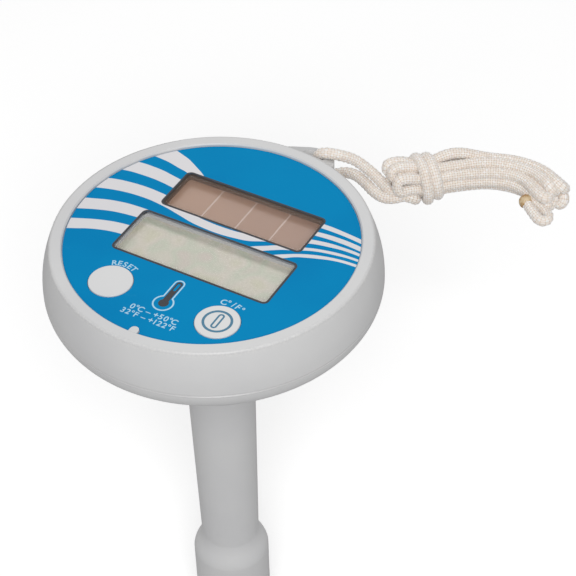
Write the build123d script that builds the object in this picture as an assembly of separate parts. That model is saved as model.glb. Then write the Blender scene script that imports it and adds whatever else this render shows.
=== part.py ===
"""Floating solar pool thermometer: a white float head with a blue face, a hollow stem with a
slotted sensor guard at its foot, and a braided tether folded into a hank.

The origin is on the stem's axis at the head's seam, which is where the water reaches.
+Z is up, +X is to the reader's right and the face is read from -Y. Millimetres.
"""
from build123d import *
import math
import os

# ---- driving dimensions -------------------------------------------------------------------
HEAD_R = 53.0            # widest radius of the head, at the seam
RIM_TOP_Z = 15.0
RIM_OUTER_R = 50.2
RIM_INNER_R = 45.9
FACE_Z = 14.0            # top of the printed label
LABEL_T = 0.4
DECK_T = 2.2             # the moulded deck under the label
WALL = 2.6
CONE_ARC_R = 9.0         # from the side wall into the bowl's cone
CONE_SLOPE = 0.95        # radius lost for each mm down
SPIGOT_R = 49.8          # the bowl's collar inside the upper shell
SEAL_Z = (0.6, 1.8)

FACE_X = 1.5             # the face's layout centre
SOLAR_W, SOLAR_H, SOLAR_Y = 49.7, 17.1, 16.15
LCD_W, LCD_H, LCD_Y = 54.4, 19.5, -7.15
WINDOW_CORNER_R = 1.5
PANE_T = 0.9
PANE_MARGIN = 1.2
DECK_LOW = FACE_Z - LABEL_T - DECK_T
GLASS_T = 2.2
SOLAR_TAPE_T = 0.3
SOLAR_CELL_T = 1.1
NUB_X, NUB_Y, NUB_R = 0.8, -44.9, 1.4

KEY_X, KEY_Y = 18.65, -30.2
KEY_R = 6.85
KEY_HOLE_R = 7.0
KEY_FLANGE_R = 8.2
KEY_TRAVEL = 0.5
KEY_PROUD = 0.35
KEY_FLANGE_LOW_Z = 10.1
SWITCH_H = 3.4
PLUNGER_TOP_Z = 9.1

BOARD_TOP_Z = 4.2
BOARD_T = 1.6
BOARD_LOW_Z = BOARD_TOP_Z - BOARD_T
BOARD_R = 42.0
BOARD_Y = -3.0
BOARD_FLAT_Y = 18.0
BOARD_POSTS = [(34.0, 10.0), (-34.0, 10.0), (30.0, -26.0), (-30.0, -26.0)]
POST_R = 3.0

STEM_TOP_R = 11.2
STEM_FOOT_R = 10.0
STEM_FOOT_Z = -121.0
STEM_LAND = 6.0          # straight length below the neck, before the taper
STEM_BORE_R = 8.0
NECK_Z = -44.0
NECK_R = 13.6
LEDGE_Z = -33.0
FLANGE_R = 20.0
FLANGE_T = 2.5
GASKET_T = 0.6

GUARD_R = 13.2
GUARD_SHOULDER_Z = -130.0
GUARD_FOOT_Z = -167.0
GUARD_WALL = 2.2
GUARD_ROOF_Z = -132.0
SPIGOT_TOP_Z = -112.0
GUARD_SLOTS = 6
PROBE_R = 3.0
PROBE_TIP_Z = -152.0
PROBE_TOP_Z = -110.0

LUG_ANGLE = 83.5
LUG_CENTRE_R = 54.8
LUG_R = 6.0
LUG_BOTTOM_Z = 5.0
LUG_SLOPE = 23           # degrees that its top falls towards the tip
EYE_R = 2.2
EYE_CENTRE_R = 55.2

ROPE_D = 3.6
EYE_MID_Z = 6.2


def polar(radius, degrees, z=0.0):
    a = math.radians(degrees)
    return (radius * math.cos(a), radius * math.sin(a), z)


EYE_X, EYE_Y, _ = polar(EYE_CENTRE_R, LUG_ANGLE)

# The tether's two strands, from the middle of the eye to the knot, and the hank's centre line.
UPPER_ROUTE = [
    (EYE_X, EYE_Y, EYE_MID_Z),
    (EYE_X, EYE_Y, 10.8),
    (9.6, 56.8, 13.2),
    (13.6, 58.4, 11.6),
    (18.2, 60.2, 8.4),
    (22.8, 60.6, 5.4),
    (27.6, 59.4, 3.6),
    (32.0, 58.6, 3.0),
]
LOWER_ROUTE = [
    (EYE_X, EYE_Y, EYE_MID_Z),
    (EYE_X, EYE_Y, 1.2),
    (8.8, 58.4, -0.8),
    (12.8, 60.6, 0.4),
    (17.3, 60.4, 1.6),
    (22.0, 58.6, 1.6),
    (26.8, 56.2, 1.2),
    (31.2, 55.6, 1.0),
]
HANK_LINE = [(35.5, 64.0), (42.0, 70.3), (50.0, 77.2), (58.5, 82.2), (66.5, 83.8), (73.0, 82.2), (77.0, 79.0)]
HANK_W = 13.0
HANK_Z = (-1.3, 10.1)
WRAP_AT = (36.0, 63.9, 4.5)
WRAP_TURN = 43.0
WRAP_SIZE = (13.0, 16.4, 15.4)
WRAP_FILLET = 5.0
HANK_IN_WRAP_R = 4.0
END_CENTRE = (71.7, 74.6, 2.6)


# ---- helpers ------------------------------------------------------------------------------
def ring(r_out, r_in, z0, z1):
    """A plain ring between two heights."""
    height = z1 - z0
    body = Cylinder(r_out, height)
    if r_in > 0:
        body -= Cylinder(r_in, height)
    return Pos(0, 0, (z0 + z1) / 2) * body


def rod(r, z0, z1, x=0.0, y=0.0):
    return Pos(x, y, (z0 + z1) / 2) * Cylinder(r, z1 - z0)


def slab(width, depth, z0, z1, x=0.0, y=0.0, corner=0.0):
    """A flat plate with rounded corners."""
    outline = RectangleRounded(width, depth, corner) if corner else Rectangle(width, depth)
    return extrude(Pos(x, y, z0) * outline, z1 - z0)


def turned(outline):
    """A solid of revolution from an (r, z) outline."""
    face = make_face(Plane.XZ * Polyline(outline, close=True))
    return revolve(face, Axis.Z)


def rope(points, diameter):
    """A round tube of straight runs joined by the largest arcs that they allow."""
    spots = [Vector(*p) for p in points]
    radii = []
    for before, here, after in zip(spots, spots[1:], spots[2:]):
        run_in = here - before
        run_out = after - here
        turn = math.radians(run_in.get_angle(run_out))
        radii.append(0.45 * min(run_in.length, run_out.length) / math.tan(turn / 2))
    path = FilletPolyline(*spots, radius=radii)
    start = Plane(origin=path @ 0, z_dir=path % 0)
    tube = sweep(start * Circle(diameter / 2), path=path)
    section = math.pi * diameter ** 2 / 4
    print("rope", round(path.length, 1), "mm, radii", [round(r, 1) for r in radii],
          "volume ratio", round(tube.volume / (section * path.length), 4))
    return tube


def save(name, shape):
    shape.label = name
    export_step(shape, f"parts/{name}.step")


def group(name, solids):
    save(name, Compound(label=name, children=list(solids)))


# ---- shells -------------------------------------------------------------------------------
def cone_start():
    """Where the side wall's arc becomes the bowl's cone: (r, z)."""
    lean = math.atan(CONE_SLOPE)
    return (HEAD_R - CONE_ARC_R * (1 - math.cos(lean)), -CONE_ARC_R * math.sin(lean))


def cone_r(z):
    r, z0 = cone_start()
    return r + (z - z0) * CONE_SLOPE


def lug():
    """The tether lug: a rounded tab that flows from the rim, sloping down to its tip."""
    base = Pos(*polar(48.5, LUG_ANGLE)) * Circle(9.5)
    tip = Pos(*polar(LUG_CENTRE_R, LUG_ANGLE)) * Circle(LUG_R)
    plan = make_hull(base.edges() + tip.edges())
    tab = extrude(Pos(0, 0, LUG_BOTTOM_Z) * plan, 9.4)
    slope = Pos(*polar(62.0, LUG_ANGLE, 14.6)) * Rot(0, 0, LUG_ANGLE) * Rot(0, LUG_SLOPE, 0)
    tab -= slope * Box(44, 40, 12)
    tab -= ring(48.9, 0, 0, 20)
    tab = fillet(tab.edges().group_by(Axis.Z)[0].filter_by(GeomType.CIRCLE).sort_by(SortBy.RADIUS)[0], 1.0)
    return tab


def eye():
    """The hole through the lug, with a cone at each mouth that the rope bends over."""
    hole = Pos(EYE_X, EYE_Y, 9) * Cylinder(EYE_R, 14)
    top_cone = Pos(EYE_X, EYE_Y, 10.2) * Cone(EYE_R, EYE_R + 2.4, 3.6)
    low_cone = Pos(EYE_X, EYE_Y, LUG_BOTTOM_Z + 0.6) * Cone(EYE_R + 1.2, EYE_R, 1.4)
    return hole + top_cone + low_cone


def upper_shell():
    """Side wall, rim and face deck in one moulding, with windows, key holes, posts and lug."""
    seam_in = HEAD_R - WALL
    side = ThreePointArc((RIM_OUTER_R, RIM_TOP_Z - 1.0), (52.35, 7.0), (HEAD_R, 0.3))
    outline = [
        side,
        Line((HEAD_R, 0.3), (HEAD_R - 0.3, 0.0)),
        Line((HEAD_R - 0.3, 0.0), (seam_in, 0.0)),
        Line((seam_in, 0.0), (48.2, DECK_LOW)),
        Line((48.2, DECK_LOW), (0, DECK_LOW)),
        Line((0, DECK_LOW), (0, FACE_Z - LABEL_T)),
        Line((0, FACE_Z - LABEL_T), (RIM_INNER_R, FACE_Z - LABEL_T)),
        Line((RIM_INNER_R, FACE_Z - LABEL_T), (RIM_INNER_R, RIM_TOP_Z - 0.4)),
        Line((RIM_INNER_R, RIM_TOP_Z - 0.4), (RIM_INNER_R + 0.4, RIM_TOP_Z)),
        Line((RIM_INNER_R + 0.4, RIM_TOP_Z), (RIM_OUTER_R - 1.0, RIM_TOP_Z)),
        ThreePointArc((RIM_OUTER_R - 1.0, RIM_TOP_Z), (RIM_OUTER_R - 0.28, RIM_TOP_Z - 0.3),
                      (RIM_OUTER_R, RIM_TOP_Z - 1.0)),
    ]
    shell = revolve(make_face(Plane.XZ * Wire(outline)), Axis.Z)
    shell += lug()
    shell -= eye()
    deck_mid = FACE_Z - LABEL_T - DECK_T / 2
    for width, depth, y in ((SOLAR_W, SOLAR_H, SOLAR_Y), (LCD_W, LCD_H, LCD_Y)):
        shell -= slab(width, depth, deck_mid - 3, deck_mid + 3, FACE_X, y, WINDOW_CORNER_R)
        shell -= slab(width + 2 * PANE_MARGIN, depth + 2 * PANE_MARGIN, FACE_Z - LABEL_T - PANE_T,
                      FACE_Z + 1, FACE_X, y, WINDOW_CORNER_R)
    for side_x in (-1, 1):
        x = FACE_X + side_x * KEY_X
        shell -= rod(KEY_HOLE_R, DECK_LOW - 1, FACE_Z + 1, x, KEY_Y)
        shell -= rod(KEY_FLANGE_R, DECK_LOW - 1, DECK_LOW + 1.2, x, KEY_Y)
    for x, y in BOARD_POSTS:
        shell += rod(POST_R, BOARD_TOP_Z, DECK_LOW, FACE_X + x, y)
        shell -= rod(1.2, BOARD_TOP_Z - 1, DECK_LOW - 1.5, FACE_X + x, y)
    shell += nub()
    return shell


def nub():
    """The small moulded key in the rim that sets the label's turn."""
    z0 = FACE_Z - LABEL_T
    tab = rod(NUB_R, z0, RIM_TOP_Z - 0.3, NUB_X, NUB_Y)
    tab += slab(2 * NUB_R, 2.0, z0, RIM_TOP_Z - 0.3, NUB_X, NUB_Y - 1.0)
    return tab


def lower_shell():
    """The bowl: a rounded side, a cone down to the neck, and a ledge inside for the stem."""
    r1, z1 = cone_start()
    lean = math.atan(CONE_SLOPE) / 2
    arc_mid = (HEAD_R - CONE_ARC_R * (1 - math.cos(lean)), -CONE_ARC_R * math.sin(lean))
    cone_end = (NECK_R + 4.0, NECK_Z + 6.2)
    wall_r = WALL / math.cos(math.atan(CONE_SLOPE))
    outline = [
        Line((HEAD_R - 0.3, 0.0), (HEAD_R, -0.3)),
        Line((HEAD_R, -0.3), (HEAD_R, -0.4)),
        ThreePointArc((HEAD_R, -0.4), arc_mid, (r1, z1)),
        Line((r1, z1), (cone_r(cone_end[1]), cone_end[1])),
        ThreePointArc((cone_r(cone_end[1]), cone_end[1]), (NECK_R + 1.6, NECK_Z + 2.6), (NECK_R, NECK_Z)),
        Line((NECK_R, NECK_Z), (STEM_TOP_R + 0.2, NECK_Z)),
        Line((STEM_TOP_R + 0.2, NECK_Z), (STEM_TOP_R + 0.2, LEDGE_Z)),
        Line((STEM_TOP_R + 0.2, LEDGE_Z), (FLANGE_R + 0.6, LEDGE_Z)),
        Line((FLANGE_R + 0.6, LEDGE_Z), (FLANGE_R + 0.6, LEDGE_Z + 3.0)),
        Line((FLANGE_R + 0.6, LEDGE_Z + 3.0), (r1 - wall_r, z1)),
        Line((r1 - wall_r, z1), (SPIGOT_R - 2.0, z1 + 1.0)),
        Line((SPIGOT_R - 2.0, z1 + 1.0), (SPIGOT_R - 2.0, 2.4)),
        Line((SPIGOT_R - 2.0, 2.4), (SPIGOT_R, 2.4)),
        Line((SPIGOT_R, 2.4), (SPIGOT_R, 0.0)),
        Line((SPIGOT_R, 0.0), (HEAD_R - 0.3, 0.0)),
    ]
    shell = revolve(make_face(Plane.XZ * Wire(outline)), Axis.Z)
    for k in range(3):
        x, y, _ = polar(17.0, 30 + 120 * k)
        shell -= rod(1.2, LEDGE_Z - 6.5, LEDGE_Z + 1, x, y)
    shell -= ring(SPIGOT_R + 1, SPIGOT_R - 1.0, *SEAL_Z)
    return shell


def shell_seal():
    """The ring in the bowl's spigot that the upper shell closes on."""
    return ring(SPIGOT_R + 0.2, SPIGOT_R - 1.0, *SEAL_Z)


# ---- face ---------------------------------------------------------------------------------
def face_label():
    z0 = FACE_Z - LABEL_T
    label = ring(RIM_INNER_R - 0.2, 0, z0, FACE_Z)
    for width, depth, y in ((SOLAR_W, SOLAR_H, SOLAR_Y), (LCD_W, LCD_H, LCD_Y)):
        label -= slab(width, depth, z0 - 1, FACE_Z + 1, FACE_X, y, WINDOW_CORNER_R)
    for side_x in (-1, 1):
        label -= rod(KEY_HOLE_R, z0 - 1, FACE_Z + 1, FACE_X + side_x * KEY_X, KEY_Y)
    label -= rod(NUB_R + 0.15, z0 - 1, FACE_Z + 1, NUB_X, NUB_Y)
    label -= slab(2 * NUB_R + 0.3, 4.0, z0 - 1, FACE_Z + 1, NUB_X, NUB_Y - 2.0)
    return label


def pane(width, depth, y):
    """A clear pane let into the deck under the label."""
    z1 = FACE_Z - LABEL_T
    grow = 2 * PANE_MARGIN - 0.2
    return slab(width + grow, depth + grow, z1 - PANE_T, z1, FACE_X, y, WINDOW_CORNER_R)


def solar_tape():
    """The adhesive frame that holds the solar cell under its window."""
    frame = slab(SOLAR_W + 3.4, SOLAR_H + 2.4, DECK_LOW - SOLAR_TAPE_T, DECK_LOW, FACE_X, SOLAR_Y)
    frame -= slab(SOLAR_W, SOLAR_H, DECK_LOW - 1, DECK_LOW + 1, FACE_X, SOLAR_Y)
    return frame


def solar_cell():
    z1 = DECK_LOW - SOLAR_TAPE_T
    return slab(SOLAR_W + 3.4, SOLAR_H + 2.4, z1 - SOLAR_CELL_T, z1, FACE_X, SOLAR_Y)


def lcd_glass():
    """The display cell: a front sheet, and a rear sheet that leaves the contact ledge bare."""
    front = slab(LCD_W + 3.2, LCD_H + 3.2, DECK_LOW - 1.1, DECK_LOW, FACE_X, LCD_Y)
    rear = slab(LCD_W + 3.2, LCD_H - 1.6, DECK_LOW - GLASS_T, DECK_LOW - 1.1, FACE_X, LCD_Y)
    return front + rear


def lcd_holder():
    """A frame that stands on the board and locates the glass and the contact strips."""
    frame = slab(LCD_W + 6.2, LCD_H + 6.2, BOARD_TOP_Z, DECK_LOW, FACE_X, LCD_Y)
    frame -= slab(LCD_W + 3.5, LCD_H + 3.5, BOARD_TOP_Z - 1, DECK_LOW + 1, FACE_X, LCD_Y)
    shelf = slab(LCD_W + 3.5, LCD_H - 1.8, DECK_LOW - GLASS_T - 1.2, DECK_LOW - GLASS_T, FACE_X, LCD_Y)
    shelf -= slab(LCD_W - 4.0, LCD_H - 5.8, BOARD_TOP_Z, DECK_LOW, FACE_X, LCD_Y)
    return frame + shelf


def contact_strips():
    """Two elastomer strips that join the glass's ledges to the board."""
    reach = (LCD_H + 3.2) / 2 - 1.0
    return [slab(LCD_W - 4, 1.8, BOARD_TOP_Z, DECK_LOW - 1.1, FACE_X, LCD_Y + s * reach) for s in (-1, 1)]


# ---- keys ---------------------------------------------------------------------------------
def key(side_x):
    """A key: a cap through the deck, a flange that keeps it in, and a post onto the switch."""
    x = FACE_X + side_x * KEY_X
    cap = rod(KEY_R, KEY_FLANGE_LOW_Z, FACE_Z + KEY_PROUD, x, KEY_Y)
    cap = fillet(cap.edges().group_by(Axis.Z)[-1], 0.3)
    flange = rod(KEY_FLANGE_R - 0.5, KEY_FLANGE_LOW_Z, DECK_LOW - 0.3, x, KEY_Y)
    post = rod(2.0, PLUNGER_TOP_Z, KEY_FLANGE_LOW_Z, x, KEY_Y)
    return cap + flange + post


def key_seal(side_x):
    """A square-section ring in the deck that wipes the key's side."""
    x = FACE_X + side_x * KEY_X
    return Pos(x, KEY_Y, 0) * ring(KEY_FLANGE_R, KEY_R + 0.05, DECK_LOW, DECK_LOW + 1.2)


def switch_case(side_x):
    x = FACE_X + side_x * KEY_X
    case = slab(6.0, 6.0, BOARD_TOP_Z, BOARD_TOP_Z + SWITCH_H, x, KEY_Y, 0.5)
    case -= rod(1.75, BOARD_TOP_Z + 1.2, BOARD_TOP_Z + SWITCH_H + 1, x, KEY_Y)
    return case


def switch_plunger(side_x):
    x = FACE_X + side_x * KEY_X
    return rod(1.7, BOARD_TOP_Z + 1.2 + KEY_TRAVEL + 0.3, PLUNGER_TOP_Z, x, KEY_Y)


# ---- board --------------------------------------------------------------------------------
def main_board():
    board = Pos(FACE_X, BOARD_Y, 0) * ring(BOARD_R, 0, BOARD_LOW_Z, BOARD_TOP_Z)
    board -= slab(120, 60, BOARD_LOW_Z - 1, BOARD_TOP_Z + 1, FACE_X, BOARD_FLAT_Y + 30)
    for x, y in BOARD_POSTS:
        board -= rod(1.5, BOARD_LOW_Z - 1, BOARD_TOP_Z + 1, FACE_X + x, y)
    return board


def tapping_screw(x, y, z_head, shank, up=1):
    """A pan-head self-tapping screw whose shank points up or down from under its head."""
    head = Pos(0, 0, -0.9) * Cylinder(2.4, 1.8)
    head = fillet(head.edges().group_by(Axis.Z)[0], 0.7)
    head -= Pos(0, 0, -1.8) * Box(0.6, 2.6, 1.2)
    head -= Pos(0, 0, -1.8) * Box(2.6, 0.6, 1.2)
    body = head + Pos(0, 0, shank / 2) * Cylinder(1.15, shank)
    if up < 0:
        body = Rot(180, 0, 0) * body
    return Pos(x, y, z_head) * body


def board_screws():
    return [tapping_screw(FACE_X + x, y, BOARD_LOW_Z, 7.0) for x, y in BOARD_POSTS]


def controller_blob():
    """The epoxy dome over the bonded chip, under the board."""
    ball = Pos(FACE_X, -6, BOARD_LOW_Z + 7.4) * Sphere(9.0)
    return ball & slab(30, 30, BOARD_LOW_Z - 3, BOARD_LOW_Z, FACE_X, -6)


def storage_capacitor():
    """The flat can that keeps the readings when the light goes."""
    can = rod(5.6, BOARD_LOW_Z - 5.2, BOARD_LOW_Z, FACE_X - 22, 2)
    return fillet(can.edges().group_by(Axis.Z)[0], 0.8)


def crystal_can():
    can = slab(8.0, 3.2, BOARD_LOW_Z - 3.2, BOARD_LOW_Z, FACE_X + 16, -14, 1.55)
    return fillet(can.edges().group_by(Axis.Z)[0], 0.5)


def chip_resistors():
    spots = [(10, 4), (14, 4), (18, 4), (10, 8), (14, 8), (18, 8), (-8, 8), (-4, 8), (0, 8)]
    return [slab(2.0, 1.25, BOARD_LOW_Z - 0.6, BOARD_LOW_Z, FACE_X + x, y) for x, y in spots]


def lead_socket():
    """The two-way socket that the sensor lead plugs into."""
    return slab(6.2, 4.6, BOARD_LOW_Z - 5.0, BOARD_LOW_Z, FACE_X + 6, -20, 0.4)


def solar_leads():
    """Two tinned wires from the solar cell down to the board."""
    z_cell = DECK_LOW - SOLAR_TAPE_T - SOLAR_CELL_T
    return [rod(0.4, BOARD_TOP_Z, z_cell, FACE_X + x, 11.5) for x in (-6, 6)]


SENSOR_LEAD_D = 2.0
SENSOR_LEAD_ROUTE = [
    (FACE_X + 6, -20, BOARD_LOW_Z - 5.0),
    (FACE_X + 6, -20, -11.0),
    (4.2, -9.0, -24.0),
    (0.5, -1.2, -40.0),
    (-0.5, 0.4, -62.0),
    (0.3, -0.2, -88.0),
    (0.0, 0.0, PROBE_TOP_Z),
]


# ---- stem ---------------------------------------------------------------------------------
def stem_tube():
    """The tapered stem, hung by its flange on the bowl's ledge."""
    flange_z0 = LEDGE_Z + GASKET_T
    outline = [
        (STEM_TOP_R, NECK_Z - STEM_LAND), (STEM_TOP_R, flange_z0), (FLANGE_R, flange_z0),
        (FLANGE_R, flange_z0 + FLANGE_T), (STEM_TOP_R - 2.2, flange_z0 + FLANGE_T),
        (STEM_TOP_R - 2.2, -76.0), (STEM_BORE_R, -78.0), (STEM_BORE_R, STEM_FOOT_Z),
        (STEM_FOOT_R, STEM_FOOT_Z),
    ]
    stem = turned(outline)
    for k in range(3):
        x, y, _ = polar(17.0, 30 + 120 * k)
        stem -= rod(1.5, flange_z0 - 1, flange_z0 + FLANGE_T + 1, x, y)
    return stem


def stem_gasket():
    gasket = ring(FLANGE_R, STEM_TOP_R + 0.4, LEDGE_Z, LEDGE_Z + GASKET_T)
    for k in range(3):
        x, y, _ = polar(17.0, 30 + 120 * k)
        gasket -= rod(1.5, LEDGE_Z - 1, LEDGE_Z + 2, x, y)
    return gasket


def stem_screws():
    z_head = LEDGE_Z + GASKET_T + FLANGE_T
    return [tapping_screw(*polar(17.0, 30 + 120 * k)[:2], z_head, 8.0, up=-1) for k in range(3)]


def ballast_weight():
    """The steel ring that keeps the stem down, standing on the guard's spigot."""
    weight = ring(STEM_BORE_R - 0.1, 2.0, SPIGOT_TOP_Z + 3.0, -80.0)
    return chamfer(weight.edges().filter_by(GeomType.CIRCLE), 0.4)


# ---- sensor end ---------------------------------------------------------------------------
def sensor_guard():
    """The slotted cage at the foot: a spigot up into the stem, a shoulder and an open basket."""
    inner = GUARD_R - GUARD_WALL
    shoulder = Spline((STEM_FOOT_R, STEM_FOOT_Z), (11.0, -124.6), (GUARD_R, GUARD_SHOULDER_Z),
                      tangents=((0.12, -1), (0.1, -1)))
    outline = [
        shoulder,
        Line((GUARD_R, GUARD_SHOULDER_Z), (GUARD_R, -158.0)),
        ThreePointArc((GUARD_R, -158.0), (11.5, -163.6), (7.2, GUARD_FOOT_Z)),
        Line((7.2, GUARD_FOOT_Z), (4.0, GUARD_FOOT_Z)),
        Line((4.0, GUARD_FOOT_Z), (4.0, -164.6)),
        Line((4.0, -164.6), (6.4, -164.6)),
        ThreePointArc((6.4, -164.6), (9.6, -162.0), (inner, -157.6)),
        Line((inner, -157.6), (inner, GUARD_ROOF_Z)),
        Line((inner, GUARD_ROOF_Z), (PROBE_R, GUARD_ROOF_Z)),
        Line((PROBE_R, GUARD_ROOF_Z), (PROBE_R, SPIGOT_TOP_Z)),
        Line((PROBE_R, SPIGOT_TOP_Z), (STEM_BORE_R - 0.5, SPIGOT_TOP_Z)),
        Line((STEM_BORE_R - 0.5, SPIGOT_TOP_Z), (STEM_BORE_R, SPIGOT_TOP_Z - 0.8)),
        Line((STEM_BORE_R, SPIGOT_TOP_Z - 0.8), (STEM_BORE_R, STEM_FOOT_Z)),
        Line((STEM_BORE_R, STEM_FOOT_Z), (STEM_FOOT_R, STEM_FOOT_Z)),
    ]
    guard = revolve(make_face(Plane.XZ * Wire(outline)), Axis.Z)
    for k in range(GUARD_SLOTS):
        slot = Plane.YZ.offset(6.0) * SlotOverall(20.0, 3.6, rotation=90)
        cutter = extrude(slot, 12.0)
        guard -= Rot(0, 0, 360 / GUARD_SLOTS * (k + 0.5)) * Pos(0, 0, -146.0) * cutter
    return guard


def sensor_probe():
    """The closed metal tube that the thermistor sits in."""
    outer = rod(PROBE_R, PROBE_TIP_Z + PROBE_R, PROBE_TOP_Z) + Pos(0, 0, PROBE_TIP_Z + PROBE_R) * Sphere(PROBE_R)
    bore = rod(PROBE_R - 0.4, PROBE_TIP_Z + PROBE_R, PROBE_TOP_Z + 1)
    return outer - bore


def thermistor_bead():
    return rod(PROBE_R - 0.5, PROBE_TIP_Z + PROBE_R, PROBE_TIP_Z + PROBE_R + 6)


def probe_potting():
    """The resin plug over the spigot, which seals the probe and the lead."""
    plug = rod(STEM_BORE_R - 0.1, SPIGOT_TOP_Z, SPIGOT_TOP_Z + 3.0)
    plug -= rod(PROBE_R, SPIGOT_TOP_Z - 1, PROBE_TOP_Z)
    plug -= rod(SENSOR_LEAD_D / 2 + 0.3, PROBE_TOP_Z - 1, SPIGOT_TOP_Z + 4)
    return plug


# ---- tether -------------------------------------------------------------------------------
def wrap_block():
    """The outer shape of the turn that ties the hank's near end."""
    block = fillet(Box(*WRAP_SIZE).edges(), WRAP_FILLET)
    return Pos(*WRAP_AT) * Rot(0, 0, WRAP_TURN) * block


def tether_hank():
    """The folded hank as one closed block of its outer shape."""
    low, high = HANK_Z
    discs = [Pos(*WRAP_AT[:2]) * Circle(HANK_IN_WRAP_R)]
    discs += [Pos(*spot) * Circle(HANK_W / 2) for spot in HANK_LINE[1:]]
    plan = Sketch()
    for a, b in zip(discs, discs[1:]):
        plan += make_hull(a.edges() + b.edges())
    block = extrude(Pos(0, 0, low) * plan, high - low)
    return block - wrap_block()


def tether_knot():
    return wrap_block()


def tether_end():
    """The rope's melted end."""
    return Pos(*END_CENTRE) * Sphere(2.7)


def build():
    os.makedirs("parts", exist_ok=True)
    save("upper_shell", upper_shell())
    save("lower_shell", lower_shell())
    save("shell_seal", shell_seal())
    save("face_label", face_label())
    save("solar_window", pane(SOLAR_W, SOLAR_H, SOLAR_Y))
    save("lcd_window", pane(LCD_W, LCD_H, LCD_Y))
    save("solar_tape", solar_tape())
    save("solar_cell", solar_cell())
    group("solar_leads", solar_leads())
    save("lcd_glass", lcd_glass())
    save("lcd_holder", lcd_holder())
    group("contact_strips", contact_strips())
    for name, side_x in (("reset", -1), ("unit", 1)):
        save(f"{name}_button", key(side_x))
        save(f"{name}_key_seal", key_seal(side_x))
        save(f"{name}_switch", switch_case(side_x))
        save(f"{name}_switch_plunger", switch_plunger(side_x))
    save("main_board", main_board())
    group("board_screws", board_screws())
    save("controller_blob", controller_blob())
    save("storage_capacitor", storage_capacitor())
    save("crystal_can", crystal_can())
    group("chip_resistors", chip_resistors())
    save("lead_socket", lead_socket())
    save("sensor_lead", rope(SENSOR_LEAD_ROUTE, SENSOR_LEAD_D))
    save("stem_tube", stem_tube())
    save("stem_gasket", stem_gasket())
    group("stem_screws", stem_screws())
    save("ballast_weight", ballast_weight())
    save("sensor_guard", sensor_guard())
    save("sensor_probe", sensor_probe())
    save("thermistor_bead", thermistor_bead())
    save("probe_potting", probe_potting())
    save("tether_upper_strand", rope(UPPER_ROUTE, ROPE_D))
    save("tether_lower_strand", rope(LOWER_ROUTE, ROPE_D))
    save("tether_knot", tether_knot())
    save("tether_hank", tether_hank())
    save("tether_end", tether_end())


build()
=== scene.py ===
"""Looks for the floating solar pool thermometer: white moulded head and stem, a printed blue face
with two windows and two keys, and a braided white tether folded into a hank.

Metres, in the CAD frame: z = 0 is the seam of the head, +X is to the reader's right.
"""

import math

import bmesh
import bpy
from mathutils import Matrix, Vector, noise


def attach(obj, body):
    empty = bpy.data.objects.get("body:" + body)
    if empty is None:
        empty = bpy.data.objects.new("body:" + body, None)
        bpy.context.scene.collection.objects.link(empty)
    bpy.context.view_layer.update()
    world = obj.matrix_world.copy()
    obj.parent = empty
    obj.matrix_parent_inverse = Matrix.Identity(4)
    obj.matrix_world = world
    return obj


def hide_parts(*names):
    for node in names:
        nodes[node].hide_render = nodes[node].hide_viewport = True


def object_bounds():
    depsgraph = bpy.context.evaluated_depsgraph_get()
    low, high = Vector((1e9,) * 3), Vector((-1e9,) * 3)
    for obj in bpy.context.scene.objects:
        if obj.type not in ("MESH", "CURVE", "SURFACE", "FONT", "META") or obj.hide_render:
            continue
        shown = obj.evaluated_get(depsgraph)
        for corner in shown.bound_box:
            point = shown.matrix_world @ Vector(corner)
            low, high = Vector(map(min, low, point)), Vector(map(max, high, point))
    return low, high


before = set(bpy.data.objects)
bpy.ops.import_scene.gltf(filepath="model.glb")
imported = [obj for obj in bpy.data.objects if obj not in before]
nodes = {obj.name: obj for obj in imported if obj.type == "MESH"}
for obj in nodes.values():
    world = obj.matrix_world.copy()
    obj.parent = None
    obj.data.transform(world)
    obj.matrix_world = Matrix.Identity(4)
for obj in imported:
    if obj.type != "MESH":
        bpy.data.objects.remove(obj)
cad_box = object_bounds()
scene = bpy.context.scene

MM = 0.001

# ---- the face's measures, in millimetres, as the CAD has them ------------------------------
FACE_Z = 14.0
FACE_X = 1.5
LABEL_R = 45.65
SOLAR = (FACE_X, 16.15, 49.7, 17.1)      # centre x, centre y, width, height
LCD = (FACE_X, -7.15, 54.4, 19.5)
UNIT_KEY = (FACE_X + 18.65, -30.2)       # centre x, centre y
KEY_TOP_Z = 14.35
INK_T = 0.03                             # how far a printed mark stands off the film
BORDER_W = 0.72
BORDER_T = INK_T + 0.02
WINDOW_CORNER = 1.5

ROPE_D = 0.0036                          # metres


# ---- camera --------------------------------------------------------------------------------
CAMERA_TURN = (30.618, 42.889, -1.667)   # azimuth, elevation and roll, in degrees
CAMERA_BACK = 0.5808                     # metres back from the middle of the face
CAMERA_RIGHT = 0.023256
CAMERA_UP = -0.014614
FOCAL_LENGTH = 118.75                    # millimetres, for a frame 36 mm wide


def add_camera():
    """A long lens over the reader's right shoulder, rolled by under two degrees."""
    azimuth, elevation, roll = (math.radians(turn) for turn in CAMERA_TURN)
    back = Vector((math.sin(azimuth) * math.cos(elevation),
                   -math.cos(azimuth) * math.cos(elevation),
                   math.sin(elevation)))
    right = (-back).cross(Vector((0, 0, 1))).normalized()
    up = right.cross(-back)
    x_axis = right * math.cos(roll) + up * math.sin(roll)
    y_axis = up * math.cos(roll) - right * math.sin(roll)
    face = Vector((0, 0, FACE_Z * MM))
    place = back * CAMERA_BACK + x_axis * CAMERA_RIGHT + y_axis * CAMERA_UP + face
    lens = bpy.data.cameras.new("camera")
    lens.lens = FOCAL_LENGTH
    lens.sensor_width = 36.0
    lens.clip_start = 0.01
    lens.clip_end = 20.0
    camera = bpy.data.objects.new("camera", lens)
    scene.collection.objects.link(camera)
    turn = Matrix((x_axis, y_axis, back)).transposed().to_4x4()
    camera.matrix_world = Matrix.Translation(place) @ turn
    scene.camera = camera


add_camera()

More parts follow.
